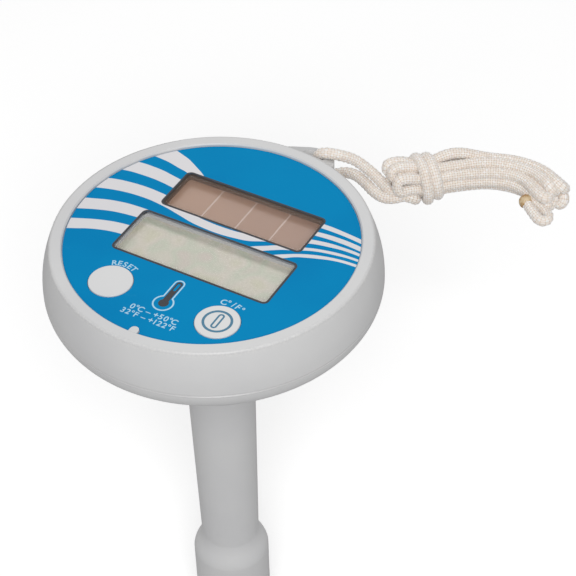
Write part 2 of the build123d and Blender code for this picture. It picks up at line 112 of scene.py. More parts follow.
# ---- tether routes, in millimetres ----------------------------------------------------------
EYE = (6.248, 54.845)
UPPER_ROUTE = [
    (*EYE, 6.2),
    (*EYE, 10.6),
    (9.4, 54.8, 12.9),
    (13.6, 56.2, 12.5),
    (17.6, 59.2, 10.2),
    (21.0, 60.6, 7.2),
    (24.9, 60.6, 4.9),
    (28.6, 59.2, 3.7),
    (32.2, 57.8, 3.0),
]
LOWER_ROUTE = [
    (*EYE, 6.2),
    (*EYE, 1.6),
    (8.8, 58.4, 0.2),
    (12.8, 60.6, 1.9),
    (17.3, 60.4, 3.0),
    (22.0, 58.8, 2.5),
    (26.8, 56.2, 1.8),
    (31.2, 55.6, 1.4),
    (35.2, 58.0, 1.8),
    (38.6, 62.6, 2.8),
    (42.4, 67.6, 3.4),
]
HANK_LINE = [(34.0, 62.8), (39.0, 67.4), (46.5, 74.4), (55.0, 80.6), (63.0, 83.4), (70.5, 83.2),
             (76.0, 79.8)]
HANK_MID_Z = 4.4
# Each run of the hank: how far across from the middle line, how high, how far short of each end.
HANK_RUNS = [
    (-1.6, 3.3, 0.0, 0.5),
    (-3.1, 0.5, 0.5, 1.0),
    (-0.2, 0.3, 1.5, 0.5),
    (1.3, 3.2, 1.0, 1.5),
    (3.0, 0.6, 0.0, 0.0),
    (4.6, 3.3, 1.0, 0.5),
    (5.2, 6.0, 1.5, 1.0),
    (2.9, 8.2, 0.0, 1.5),
    (1.9, 5.8, 1.0, 0.0),
    (-0.2, 8.4, 2.0, 1.0),
    (-1.3, 6.0, 0.5, 1.5),
    (-3.9, 6.6, 1.0, 0.5),
    (-4.9, 3.3, 0.0, 0.5),
]
SIDE_WANDER = 0.3                        # how far a run strays from its place in the bundle
HEIGHT_WANDER = 0.25
HUMP_RUN = 7                             # the looser run that bows up behind the others
HUMP_AT = 2                              # the point of the middle line where it does
HUMP_SIDE = 1.2
HUMP_RISE = 3.4
# How loosely the runs lie at each point of the middle line.
BUNDLE_SIZE = [1.06, 0.82, 0.86, 0.86, 0.86, 0.90, 0.98]
NEAR_LIFT = 1.8                          # the folds of the near end stand up above the wrap
FOLD_REACH = 4.2                         # how far a fold runs on past the end of the line
FOLD_REACH_WANDER = 0.9
FOLD_SHARES = (-0.12, 1.12)              # a fold swells a little wider than its two runs
TAIL_POINTS = [(78.5, 74.6, 1.6), (81.4, 71.8, 0.8), (79.4, 69.4, 0.8), (75.8, 71.4, 1.6)]
END_POINT = (71.7, 74.6, 2.6)


def hank_frame(k):
    """The middle line's point k with the directions across the hank, to its left, and along it."""
    before = Vector(HANK_LINE[max(k - 1, 0)])
    after = Vector(HANK_LINE[min(k + 1, len(HANK_LINE) - 1)])
    along = (after - before).normalized()
    return Vector(HANK_LINE[k]), Vector((-along.y, along.x)), along


def in_hank(k, side, height, forward=0.0):
    """A point of the hank: beside the middle line, at a height, and further along it."""
    middle, left, along = hank_frame(k)
    spot = middle + left * side + along * forward
    return (spot.x, spot.y, height)


def wrap_points():
    """Two slanting turns round the near end that bind the runs."""
    turns = [(-6.0, 1.6, -4.6), (-3.0, -1.2, -3.6), (3.2, -1.8, -2.6), (6.8, 1.6, -2.2),
             (7.0, 7.0, -1.8), (3.4, 10.9, -1.5), (-2.2, 11.2, -1.2), (-6.6, 7.8, -0.9),
             (-7.2, 2.6, -0.5), (-4.2, -1.6, 0.2), (1.6, -2.0, 0.8), (6.4, 0.8, 1.2),
             (7.0, 6.2, 1.5), (3.6, 10.5, 1.8), (-1.8, 10.8, 2.0), (-6.2, 7.8, 2.3),
             (-6.8, 3.4, 2.8), (-3.8, -0.6, 3.6), (0.4, 0.6, 6.0)]
    return [in_hank(1, side, height, forward) for side, height, forward in turns]


def run_point(k, side, height, forward=0.0):
    """A point of a run, drawn in or let out with the bundle at the middle line's point k."""
    up = HANK_MID_Z + BUNDLE_SIZE[k] * (height - HANK_MID_Z) + NEAR_LIFT * (k == 0)
    return in_hank(k, BUNDLE_SIZE[k] * side, up, forward)


def hank_points():
    """The folded runs, out and back along the middle line, with a rounded fold at each end."""
    points = []
    last = len(HANK_LINE) - 1
    for number, (side, height, short_near, short_far) in enumerate(HANK_RUNS):
        order = list(range(last + 1)) if number % 2 == 0 else list(range(last, -1, -1))
        if number == 0:
            order = order[2:]            # the first run starts inside the bundle, past the wrap
        for k in order:
            off = side + SIDE_WANDER * math.sin(1.9 * k + 2.3 * number)
            up = height + HEIGHT_WANDER * math.sin(2.7 * k + 1.3 * number)
            if number == HUMP_RUN and k == HUMP_AT:
                off += HUMP_SIDE
                up += HUMP_RISE
            short = short_near * (k == 0) - short_far * (k == last)
            points.append(run_point(k, off, up, short))
        if number == len(HANK_RUNS) - 1:
            break
        end = order[-1]
        next_side, next_height = HANK_RUNS[number + 1][:2]
        reach = FOLD_REACH + FOLD_REACH_WANDER * math.sin(2.1 * number)
        if end != last:
            reach = -reach
        for share in FOLD_SHARES:
            points.append(run_point(end, side + (next_side - side) * share,
                                    height + (next_height - height) * share, reach))
    return points


def metres(points):
    """Points in millimetres as vectors in metres."""
    return [Vector(p) * MM for p in points]


def mesh_of(holder):
    """An object's mesh with its modifiers, or its curve or letters, worked out."""
    bpy.context.view_layer.update()
    return bpy.data.meshes.new_from_object(
        holder.evaluated_get(bpy.context.evaluated_depsgraph_get()))


def smooth_line(points, step):
    """Points along the NURBS curve that has these control points, evenly spaced."""
    data = bpy.data.curves.new("route", "CURVE")
    data.dimensions = "3D"
    data.resolution_u = 24
    spline = data.splines.new("NURBS")
    spline.points.add(len(points) - 1)
    for spot, point in zip(spline.points, points):
        spot.co = (*point, 1.0)
    spline.order_u = 3
    spline.use_endpoint_u = True
    holder = bpy.data.objects.new("route", data)
    scene.collection.objects.link(holder)
    mesh = mesh_of(holder)
    read = [v.co.copy() for v in mesh.vertices]
    bpy.data.objects.remove(holder)
    bpy.data.meshes.remove(mesh)
    line = [read[0]]
    need = step
    for a, b in zip(read, read[1:]):
        length = (b - a).length
        while length >= need:
            a = a + (b - a) * (need / length)
            length -= need
            need = step
            line.append(a.copy())
        need -= length
    return line


# ---- braided rope ---------------------------------------------------------------------------
STITCHES_ROUND = 7
STITCH_ROW = 0.00085                     # metres along the rope
LINE_STEP = STITCH_ROW / 2
RELIEF = 0.00014                         # metres in and out
UV_PER_METRE = 1000                      # the rope's U runs in millimetres


def finish_mesh(work, name, smooth=False):
    """Turns a bmesh into an object that sits at the origin with its place in its mesh."""
    for face in work.faces:
        face.smooth = smooth
    mesh = bpy.data.meshes.new(name)
    work.to_mesh(mesh)
    work.free()
    piece = bpy.data.objects.new(name, mesh)
    scene.collection.objects.link(piece)
    return piece


def braid_tube(name, line):
    """A tube along a line whose surface is pushed out into the brick pattern of a braid."""
    sides = STITCHES_ROUND * 2
    work = bmesh.new()
    uv_layer = work.loops.layers.uv.new("UVMap")
    tangent = (line[1] - line[0]).normalized()
    normal = tangent.orthogonal().normalized()
    rings = []
    for i, spot in enumerate(line):
        ahead = line[min(i + 1, len(line) - 1)] - line[max(i - 1, 0)]
        ahead.normalize()
        normal = (normal - ahead * normal.dot(ahead)).normalized()
        side = ahead.cross(normal)
        row = math.cos(math.pi * i / 2)
        ring = []
        for j in range(sides):
            angle = math.tau * j / sides
            out = normal * math.cos(angle) + side * math.sin(angle)
            lift = RELIEF * row * math.cos(STITCHES_ROUND * angle)
            ring.append(work.verts.new(spot + out * (ROPE_D / 2 + lift)))
        rings.append(ring)
    for i, (low, high) in enumerate(zip(rings, rings[1:])):
        for j in range(sides):
            k = (j + 1) % sides
            face = work.faces.new((low[j], low[k], high[k], high[j]))
            for loop, u, v in zip(face.loops, (i, i, i + 1, i + 1), (j, j + 1, j + 1, j)):
                loop[uv_layer].uv = (u * LINE_STEP * UV_PER_METRE, v / sides)
    for ring, spot in ((rings[0], line[0]), (rings[-1], line[-1])):
        middle = work.verts.new(spot)
        for j in range(sides):
            work.faces.new((ring[(j + 1) % sides], ring[j], middle))
    bmesh.ops.recalc_face_normals(work, faces=work.faces)
    return finish_mesh(work, name, smooth=True)


MAIN_POINTS = UPPER_ROUTE + wrap_points() + hank_points() + TAIL_POINTS + [END_POINT]
main_line = smooth_line(metres(MAIN_POINTS), LINE_STEP)
lower_line = smooth_line(metres(LOWER_ROUTE), LINE_STEP)

tether = braid_tube("tether", main_line)
short_strand = braid_tube("tether_short_strand", lower_line)


BEAD_R = 2.35                            # millimetres
BEAD_SET_BACK = 0.3                      # how far the bead's middle sits back along the rope


def melted_end():
    """The rope's end, melted into a small lopsided bead that grips the fibres."""
    work = bmesh.new()
    bmesh.ops.create_icosphere(work, subdivisions=5, radius=1.0)
    axis = (Vector(END_POINT) - Vector(MAIN_POINTS[-2])).normalized()
    for v in work.verts:
        co = v.co.copy()
        lump = 0.10 * noise.noise(co * 1.6 + Vector((3, 1, 7))) + 0.035 * noise.noise(co * 5.0)
        v.co = co * (1 + lump)
        v.co.z *= 0.92
    turn = axis.to_track_quat("Z", "Y").to_matrix()
    middle = Vector(END_POINT) - axis * BEAD_SET_BACK
    for v in work.verts:
        v.co = (turn @ v.co) * BEAD_R * MM + middle * MM
    return finish_mesh(work, "tether_melted_end", smooth=True)


end_bead = melted_end()
for piece, stand_in in ((tether, ("tether_upper_strand", "tether_hank", "tether_knot")),
                        (short_strand, ("tether_lower_strand",)),
                        (end_bead, ("tether_end",))):
    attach(piece, "root")
    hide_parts(*stand_in)


# ---- printed artwork ------------------------------------------------------------------------
def flat_shape(name, outlines, z, thick=INK_T):
    """A thin printed shape from closed outlines in millimetres. A sharp corner has a third value."""
    data = bpy.data.curves.new(name, "CURVE")
    data.dimensions = "2D"
    data.fill_mode = "BOTH"
    data.resolution_u = 8
    for outline in outlines:
        spline = data.splines.new("BEZIER")
        spline.bezier_points.add(len(outline) - 1)
        spline.use_cyclic_u = True
        for spot, point in zip(spline.bezier_points, outline):
            spot.co = (point[0], point[1], 0)
            handle = "VECTOR" if len(point) > 2 else "AUTO"
            spot.handle_left_type = spot.handle_right_type = handle
    return curve_to_piece(data, name, z, thick)


def curve_to_piece(data, name, z, thick):
    """Fills a flat curve or text, gives it its thickness, and puts it at a height on the face."""
    holder = bpy.data.objects.new(name, data)
    scene.collection.objects.link(holder)
    mesh = mesh_of(holder)
    bpy.data.objects.remove(holder)
    work = bmesh.new()
    work.from_mesh(mesh)
    bpy.data.meshes.remove(mesh)
    bmesh.ops.remove_doubles(work, verts=work.verts, dist=0.001)
    for v in work.verts:
        v.co.z = 0
    bmesh.ops.recalc_face_normals(work, faces=work.faces)
    extruded = bmesh.ops.extrude_face_region(work, geom=work.faces[:])
    top = [g for g in extruded["geom"] if isinstance(g, bmesh.types.BMVert)]
    bmesh.ops.translate(work, verts=top, vec=(0, 0, thick))
    bmesh.ops.recalc_face_normals(work, faces=work.faces)
    bmesh.ops.translate(work, verts=work.verts, vec=(0, 0, z))
    bmesh.ops.scale(work, verts=work.verts, vec=(MM, MM, MM))
    return finish_mesh(work, name)


def circle_points(x, y, r, count):
    """Evenly spaced points on a circle."""
    angles = [math.tau * k / count for k in range(count)]
    return [(x + r * math.cos(angle), y + r * math.sin(angle)) for angle in angles]


def rounded_box(x, y, width, height, corner, steps=5):
    """A rounded rectangle's outline, all its points sharp, so the straights stay straight."""
    points = []
    for k, (sx, sy) in enumerate(((1, 1), (-1, 1), (-1, -1), (1, -1))):
        for step in range(steps + 1):
            angle = math.radians(90 * k + 90 * step / steps)
            points.append((x + sx * (width / 2 - corner) + corner * math.cos(angle),
                           y + sy * (height / 2 - corner) + corner * math.sin(angle)))
    return points


def keyhole(x, top, half, bulb_y, bulb_r, steps=8):
    """A thermometer's outline: a round-topped stem that ends in a bulb."""
    points = []
    for step in range(steps + 1):
        angle = math.pi * step / steps
        points.append((x + half * math.cos(angle), top - half + half * math.sin(angle)))
    join = math.asin(half / bulb_r)
    start = math.pi / 2 + join
    sweep = math.tau - 2 * join
    for step in range(3 * steps + 1):
        angle = start + sweep * step / (3 * steps)
        points.append((x + bulb_r * math.cos(angle), bulb_y + bulb_r * math.sin(angle)))
    return points


def cut(piece, tool, how):
    """Applies a boolean with a tool shape, then drops the tool."""
    modifier = piece.modifiers.new("cut", "BOOLEAN")
    modifier.operation = how
    modifier.solver = "EXACT"
    modifier.object = tool
    mesh = mesh_of(piece)
    piece.modifiers.remove(modifier)
    old = piece.data
    piece.data = mesh
    bpy.data.meshes.remove(old)
    bpy.data.objects.remove(tool)


def sharp(points):
    """The same outline with every corner marked as sharp."""
    return [(x, y, 1) for x, y in points]


# Upper edges run left to right, lower edges right to left; both ends lie past the film's edge or
# under a window's border, where they are trimmed.
LEFT_BANDS = [
    ([(-33.8, 32.4), (-30, 31.2), (-27, 30.2), (-25, 29.2), (-22.5, 27.8), (-20, 26.4), (-17.4, 24.6)],
     [(-21.0, 22.9), (-23.5, 24), (-28, 25), (-32, 25.9), (-35, 26.2), (-39.4, 26.4)]),
    ([(-43.4, 21.0), (-38, 21.6), (-35, 21.6), (-31, 21.4), (-28, 20.9), (-21.6, 19.8)],
     [(-21.6, 15.2), (-29, 16.3), (-33, 16.5), (-37, 16.4), (-40, 16.2), (-44.8, 15.2)]),
    ([(-46.6, 9.4), (-41.5, 10.9), (-38, 11.5), (-34, 11.9), (-30, 12), (-26.5, 11.8), (-23.6, 11.5),
      (-16.6, 9.6), (-9.9, 7.4), (-4.9, 6.8), (0.1, 6.7), (5.1, 7.0), (9.6, 7.9), (16.0, 9.6)],
     [(17.4, 8.4), (14.8, 7.2), (12.9, 6.3), (10.1, 5.0), (5.1, 4.0), (0.1, 3.5), (-4.9, 3.6),
      (-9.9, 4.1), (-14.9, 5.2), (-20.4, 6.4), (-24, 6.9), (-27, 7.2), (-31, 7.2), (-35, 6.9),
      (-39, 6.2), (-42.5, 5.3), (-47.4, 3.6)]),
    ([(-47.0, -2.0), (-42.5, -0.3), (-39, 1.0), (-35, 2.0), (-31, 2.6), (-23.8, 2.9)],
     [(-23.8, -1.5), (-31, -2.3), (-35, -3.1), (-39, -4.4), (-42.5, -5.8), (-46.8, -7.8)]),
    ([(-46.6, -12.7), (-41.5, -10.5), (-38, -9), (-34, -7.6), (-30, -6.6), (-23.8, -5.8)],
     [(-23.8, -10.4), (-29, -11), (-33, -12), (-37, -13.5), (-40, -15), (-45, -17.4)]),
]
RIGHT_BANDS = [
    ([(25.0, 22.6), (30.1, 22.6), (34, 22.3), (37.3, 22), (44.0, 21.2)],
     [(44.8, 19.4), (37.9, 20.3), (34, 20.6), (30.1, 20.7), (25.0, 20.6)]),
    ([(25.0, 18.3), (29.6, 18.9), (34, 19.1), (37.9, 19), (45.4, 18.2)],
     [(45.8, 16.3), (38.4, 17.1), (34, 17.2), (29.6, 17), (25.0, 16.5)]),
    ([(25.0, 14.2), (29.6, 15.2), (32.9, 15.7), (36.8, 15.9), (40.7, 15.9), (46.4, 15.3)],
     [(46.8, 14.4), (40.7, 14.7), (36.8, 14.6), (32.9, 14), (29.6, 13.4), (25.0, 12.0)]),
    ([(10.0, 1.6), (12.3, 3.3), (15.7, 5.4), (18.4, 7.1), (22.6, 9.0), (26.5, 10.3), (29.6, 11.4),
      (32.9, 12.2), (36.8, 12.9), (40.7, 13.2), (46.8, 13.1)],
     [(46.8, 12.2), (40.7, 12.2), (36.8, 11.7), (32.9, 11), (29.6, 10.1), (26.5, 8.8), (23.2, 7.2),
      (21.2, 6.3), (18.4, 4.6), (14.0, 1.6)]),
    ([(18.0, 1.6), (20.4, 3.3), (22.9, 4.9), (26.2, 6.8), (29.6, 8.3), (32.9, 9.4), (36.8, 10.3),
      (40.7, 10.8), (46.8, 11.0)],
     [(46.8, 9.9), (40.7, 9.7), (36.8, 9.1), (32.9, 7.9), (29.6, 6.7), (26.2, 5.2), (23.4, 3.2),
      (21.0, 1.6)]),
]


def trimmer(outline):
    """A block that reaches right through a band, to trim it with."""
    return flat_shape("trimmer", [sharp(outline)], FACE_Z - 1, 2.0)


def printed_bands():
    """The white bands that sweep across the film from both sides, trimmed to it and its windows."""
    pieces = []
    for side, bands in (("left", LEFT_BANDS), ("right", RIGHT_BANDS)):
        for number, (upper, lower) in enumerate(bands):
            outline = list(upper) + list(lower)
            for spot in (0, len(upper) - 1, len(upper), len(outline) - 1):
                outline[spot] = (*outline[spot], 1)
            band = flat_shape(f"printed_band_{side}_{number + 1}", [outline], FACE_Z)
            cut(band, trimmer(circle_points(0, 0, LABEL_R, 128)), "INTERSECT")
            for x, y, width, height in (SOLAR, LCD):
                window = rounded_box(x, y, width + 0.5, height + 0.5, 1.6)
                cut(band, trimmer(window), "DIFFERENCE")
            pieces.append(band)
    return pieces


def window_borders():
    """A dark line printed round each window."""
    pieces = []
    for name, (x, y, width, height) in (("solar", SOLAR), ("display", LCD)):
        outer = rounded_box(x, y, width + BORDER_W, height + BORDER_W, WINDOW_CORNER + BORDER_W / 2)
        inner = rounded_box(x, y, width - BORDER_W, height - BORDER_W, WINDOW_CORNER - BORDER_W / 2)
        pieces.append(flat_shape(f"{name}_window_border", [sharp(outer), sharp(inner)], FACE_Z,
                                 BORDER_T))
    return pieces


LETTER_WEIGHT = 0.05                     # how far each letter's outline is let out, in millimetres


def text_piece(name, letters, z):
    """Letters set one by one: (character, x, y, size, turn in degrees)."""
    work = bmesh.new()
    for character, x, y, size, turn in letters:
        data = bpy.data.curves.new("letter", "FONT")
        data.body = character
        data.size = size
        data.align_x = "CENTER"
        data.resolution_u = 4
        data.offset = LETTER_WEIGHT
        letter = curve_to_piece(data, "letter", 0, INK_T)
        spin = Matrix.Rotation(math.radians(turn), 4, "Z")
        letter.data.transform(Matrix.Translation((x * MM, y * MM, z * MM)) @ spin)
        work.from_mesh(letter.data)
        bpy.data.objects.remove(letter)
    return finish_mesh(work, name)


def arc_letters(text, x, y, radius, size, spread, middle=90.0):
    """Letters on an arc, their feet towards its centre."""
    letters = []
    for k, character in enumerate(text):
        angle = middle - spread * (k - (len(text) - 1) / 2)
        a = math.radians(angle)
        letters.append((character, x + radius * math.cos(a), y + radius * math.sin(a), size,
                        angle - 90))
    return letters


def line_letters(text, x, y, size, pitch):
    """Letters on a straight line, evenly pitched but for narrow ones."""
    narrow = {" ": 0.55, "+": 0.95, "–": 0.9, "°": 0.62, "1": 0.8}
    widths = [narrow.get(c, 1.0) * pitch for c in text]
    letters = []
    at = x - sum(widths) / 2
    for character, width in zip(text, widths):
        if character != " ":
            letters.append((character, at + width / 2, y, size, 0.0))
        at += width
    return letters


def icon():
    """The thermometer sign between the keys: a pale outline and a dark stem and bulb."""
    pale = flat_shape("icon_outline", [sharp(keyhole(1.8, -19.9, 1.75, -30.8, 3.35)),
                                       sharp(keyhole(1.8, -20.4, 1.3, -30.8, 2.85))], FACE_Z)
    slot = rounded_box(1.85, -23.2, 0.85, 3.4, 0.41)
    dark = flat_shape("icon_mercury", [sharp(keyhole(1.85, -20.7, 1.0, -30.7, 1.6)),
                                       sharp(slot)], FACE_Z)
    return pale, dark


def key_marks():
    """The ring and the pill sign on the unit key."""
    x, y = UNIT_KEY
    ring = flat_shape("unit_key_ring", [circle_points(x, y, 4.65, 32),
                                        circle_points(x, y, 3.85, 32)], KEY_TOP_Z)
    pill = flat_shape("unit_key_pill", [sharp(rounded_box(x, y + 0.1, 2.1, 6.4, 1.02)),
                                        sharp(rounded_box(x, y + 0.1, 0.95, 5.25, 0.46))], KEY_TOP_Z)
    return ring, pill


# Painted shade round the solar cell: a brown sleeve and a brown strip on the ledge.
SLEEVE_Z = 11.42                         # just above the cell's foam tape
SLEEVE_H = 1.24
LEDGE_Z = 12.705                         # just above the ledge that the window is glued to


def solar_shade_pieces():
    """Painted shade round the solar cell: a brown sleeve over the deck's white edge and a brown strip on
    the ledge under the window's margin.
    """
    x, y, width, height = SOLAR
    outer = rounded_box(x, y, width - 0.04, height - 0.04, WINDOW_CORNER)
    inner = rounded_box(x, y, width - 0.6, height - 0.6, 1.25)
    shade_sleeve = flat_shape("solar_window_shade_sleeve", [sharp(outer), sharp(inner)], SLEEVE_Z, SLEEVE_H)
    margin = rounded_box(x, y, width + 2.1, height + 2.1, WINDOW_CORNER)
    ledge_shade_strip = flat_shape("solar_window_ledge_shade", [sharp(margin), sharp(outer)], LEDGE_Z)
    return shade_sleeve, ledge_shade_strip


bands = printed_bands()
borders = window_borders()
icon_outline, icon_mercury = icon()
ring_mark, pill_mark = key_marks()
letters = arc_letters("RESET", -16.9, -30.4, 7.6, 2.9, 11.7, 93.0)
letters += arc_letters("C°/F°", 20.1, -30.2, 7.6, 3.0, 10.8, 86.5)
letters += line_letters("0°C – +50°C", 1.8, -37.1, 2.95, 1.77)
letters += line_letters("32°F – +122°F", 1.45, -39.7, 2.9, 1.71)
lettering = text_piece("face_lettering", letters, FACE_Z)

for piece in bands + borders + [icon_outline, icon_mercury, lettering]:
    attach(piece, "root")
shade_sleeve, ledge_shade = solar_shade_pieces()
for piece in (shade_sleeve, ledge_shade):
    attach(piece, "root")
for piece in (ring_mark, pill_mark):
    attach(piece, "unit_key")


# ---- materials ------------------------------------------------------------------------------
def new_group(name, inputs, outputs):
    """A shader group with named value or colour sockets."""
    group = bpy.data.node_groups.new(name, "ShaderNodeTree")
    for socket, kind, default in inputs:
        made = group.interface.new_socket(socket, in_out="INPUT", socket_type=kind)
        if default is not None:
            made.default_value = default
    for socket, kind in outputs:
        group.interface.new_socket(socket, in_out="OUTPUT", socket_type=kind)
    return group, group.nodes.new("NodeGroupInput"), group.nodes.new("NodeGroupOutput")


def node(tree, kind, links=None, **settings):
    """Adds a node, sets its properties and socket values, and links what it is given."""
    made = tree.nodes.new("ShaderNode" + kind)
    for key, value in settings.items():
        setattr(made, key, value)
    for key, value in (links or {}).items():
        if isinstance(value, bpy.types.NodeSocket):
            tree.links.new(value, made.inputs[key])
        else:
            made.inputs[key].default_value = value
    return made


def sums(tree, how, a, b=0.0, clamp=False):
    """A Math node's value."""
    return node(tree, "Math", {0: a, 1: b}, operation=how, use_clamp=clamp).outputs[0]


def added(tree, base, texture, share, clamp=False):
    """A base plus a share of a texture."""
    return sums(tree, "ADD", base, sums(tree, "MULTIPLY", texture, share), clamp)


def without(tree, value):
    """One less a value between 0 and 1."""
    return sums(tree, "SUBTRACT", 1.0, value)


def ramp(tree, value, low, high, smooth=True):
    """Stretches a value's run from low to high over 0 to 1, clamped."""
    made = node(tree, "MapRange", {"Value": value, "From Min": low, "From Max": high})
    made.interpolation_type = "SMOOTHSTEP" if smooth else "LINEAR"
    return made.outputs["Result"]


def mixed(tree, share, a, b):
    """A mix of two colours."""
    made = node(tree, "Mix", {}, data_type="RGBA")
    for key, value in ((0, share), (6, a), (7, b)):
        if isinstance(value, bpy.types.NodeSocket):
            tree.links.new(value, made.inputs[key])
        else:
            made.inputs[key].default_value = value
    return made.outputs[2]


def tinted(tree, tone, colour, where, share):
    """A tone with a colour laid over it by a mask, at a share of its strength."""
    return mixed(tree, sums(tree, "MULTIPLY", where, share), tone, colour)


def srgb(r, g, b):
    """A colour from 0-255 screen values."""
    def linear(v):
        v /= 255
        return v / 12.92 if v <= 0.04045 else ((v + 0.055) / 1.055) ** 2.4

    return (linear(r), linear(g), linear(b), 1.0)


def moulded_surface():
    """Faint blotches, a fine grain and stray scuffs, as on satin moulded plastic or film."""
    group, took, gave = new_group(
        "moulded_surface",
        [("Vector", "NodeSocketVector", None), ("Grain Scale", "NodeSocketFloat", 1800.0),
         ("Scuff Scale", "NodeSocketFloat", 60.0)],
        [("Blotch", "NodeSocketFloat"), ("Grain", "NodeSocketFloat"), ("Scuff", "NodeSocketFloat")])
    vector = took.outputs["Vector"]
    blotch = node(group, "TexNoise", {"Vector": vector, "Scale": 22.0, "Detail": 3.0,
                                      "Roughness": 0.55})
    grain = node(group, "TexNoise", {"Vector": vector, "Scale": took.outputs["Grain Scale"],
                                     "Detail": 2.0})
    stretched = node(group, "Mapping", {"Vector": vector, "Scale": (1.0, 5.0, 2.0),
                                        "Rotation": (0.3, 0.2, 0.7)})
    lines = node(group, "TexNoise", {"Vector": stretched.outputs[0], "Scale": took.outputs["Scuff Scale"],
                                     "Detail": 6.0, "Roughness": 0.7})
    scuff = ramp(group, lines.outputs["Fac"], 0.62, 0.74)
    group.links.new(blotch.outputs["Fac"], gave.inputs["Blotch"])
    group.links.new(grain.outputs["Fac"], gave.inputs["Grain"])
    group.links.new(scuff, gave.inputs["Scuff"])
    return group


SURFACE = moulded_surface()


def start(name):
    """A new material with its tree, its shader and object coordinates."""
    material = bpy.data.materials.new(name)
    material.use_nodes = True
    tree = material.node_tree
    shader = tree.nodes["Principled BSDF"]
    spot = node(tree, "TexCoord").outputs["Object"]
    return material, tree, shader, spot


def surface(tree, spot, grain=1800.0, scuff=60.0):
    """The moulded surface's blotch, grain and scuff values in a material."""
    made = tree.nodes.new("ShaderNodeGroup")
    made.node_tree = SURFACE
    tree.links.new(spot, made.inputs["Vector"])
    made.inputs["Grain Scale"].default_value = grain
    made.inputs["Scuff Scale"].default_value = scuff
    return made.outputs["Blotch"], made.outputs["Grain"], made.outputs["Scuff"]


def bumped(tree, shader, height, strength, distance):
    """Tilts a shader's normal by a height, its distance in metres."""
    made = node(tree, "Bump", {"Height": height, "Strength": strength, "Distance": distance})
    tree.links.new(made.outputs["Normal"], shader.inputs["Normal"])


def painted(tree, shader, tone, roughness):
    """Gives a shader its colour and its roughness."""
    tree.links.new(tone, shader.inputs["Base Color"])
    tree.links.new(roughness, shader.inputs["Roughness"])


def plastic(name, colour, dark, rough, grain=1800.0, bump=0.12):
    """Moulded plastic: blotchy colour, satin grain, and duller scuffs."""
    material, tree, shader, spot = start(name)
    blotch, fine, scuff = surface(tree, spot, grain)
    tone = mixed(tree, ramp(tree, blotch, 0.35, 0.68), dark, colour)
    tone = tinted(tree, tone, colour, scuff, 0.35)
    roughness = added(tree, added(tree, rough - 0.06, blotch, 0.12), scuff, 0.14, clamp=True)
    painted(tree, shader, tone, roughness)
    bumped(tree, shader, added(tree, fine, scuff, -0.4), bump, 0.00005)
    return material


# Where the shell's rim wear, painted seam shade and lower greying fade in and out, in metres.
RIM_EDGE = (0.0488, 0.0502)              # radius
RIM_TOP = (0.0128, 0.0146)               # height
SEAM_SHADE_FADE = (0.0002, 0.0009)             # height either side of the seam
LOWER_GREY_FADE = (-0.012, 0.001)             # height


def white_shell():
    """White float plastic: a lighter rubbed rim edge, painted shade along the seam, and greyer in
    blotches below the seam and down the stem.
    """
    material, tree, shader, spot = start("white_abs")
    blotch, fine, scuff = surface(tree, spot, 1500.0)
    parts = node(tree, "SeparateXYZ", {0: spot})
    flat = node(tree, "CombineXYZ", {0: parts.outputs[0], 1: parts.outputs[1]})
    radius = node(tree, "VectorMath", {0: flat.outputs[0]}, operation="LENGTH").outputs["Value"]
    height = parts.outputs[2]
    tone = mixed(tree, ramp(tree, blotch, 0.3, 0.7), srgb(205, 205, 206), srgb(212, 212, 212))
    on_rim = ramp(tree, radius, *RIM_EDGE)
    near_top = ramp(tree, height, *RIM_TOP)
    rim_rub = sums(tree, "MULTIPLY", on_rim, near_top)
    rub = sums(tree, "MULTIPLY", rim_rub, ramp(tree, fine, 0.45, 0.62))
    tone = tinted(tree, tone, srgb(224, 223, 221), rub, 0.5)
    seam = without(tree, ramp(tree, sums(tree, "ABSOLUTE", height), *SEAM_SHADE_FADE))
    # Greyer in blotches below the seam and down the stem.
    lower_grey = sums(tree, "MULTIPLY", without(tree, ramp(tree, height, *LOWER_GREY_FADE)),
                ramp(tree, blotch, 0.4, 0.7))
    tone = tinted(tree, tone, srgb(196, 196, 194), lower_grey, 0.25)
    # Painted shade along the seam groove between the shells.
    tone = tinted(tree, tone, srgb(150, 148, 146), seam, 0.2)
    tone = tinted(tree, tone, srgb(222, 221, 220), scuff, 0.2)
    roughness = added(tree, added(tree, 0.30, blotch, 0.14), scuff, 0.16, clamp=True)
    painted(tree, shader, tone, roughness)
    bumped(tree, shader, added(tree, fine, blotch, 1.4), 0.12, 0.00008)
    return material


def blue_film():
    """Printed film: flat blue ink under a satin skin, with a fine print screen and scratches."""
    material, tree, shader, spot = start("printed_label")
    blotch, fine, scuff = surface(tree, spot, 2600.0, 90.0)
    screen = node(tree, "TexVoronoi", {"Vector": spot, "Scale": 3400.0})
    dots = ramp(tree, screen.outputs["Distance"], 0.2, 0.6)
    tone = mixed(tree, ramp(tree, blotch, 0.3, 0.7), srgb(0, 128, 186), srgb(2, 137, 193))
    tone = tinted(tree, tone, srgb(14, 148, 204), dots, 0.12)
    tone = tinted(tree, tone, srgb(90, 172, 208), scuff, 0.08)
    painted(tree, shader, tone, added(tree, added(tree, 0.36, blotch, 0.10), scuff, 0.1))
    shader.inputs["Specular IOR Level"].default_value = 0.02
    bumped(tree, shader, sums(tree, "ADD", fine, blotch), 0.08, 0.00004)
    return material


def ink(name, colour, dark):
    """Screen-printed ink: a slightly uneven lay-down with pinholes."""
    material, tree, shader, spot = start(name)
    blotch, fine, _ = surface(tree, spot, 3000.0, 120.0)
    tone = mixed(tree, ramp(tree, blotch, 0.3, 0.7), dark, colour)
    tone = mixed(tree, ramp(tree, fine, 0.66, 0.74), tone, dark)
    painted(tree, shader, tone, added(tree, 0.34, fine, 0.15))
    shader.inputs["Specular IOR Level"].default_value = 0.4
    bumped(tree, shader, fine, 0.1, 0.00003)
    return material


SCRIBED_GAPS = (-0.0106, 0.0016, 0.0137)        # metres across the cell
CELL_ENDS = (-0.024, 0.026)


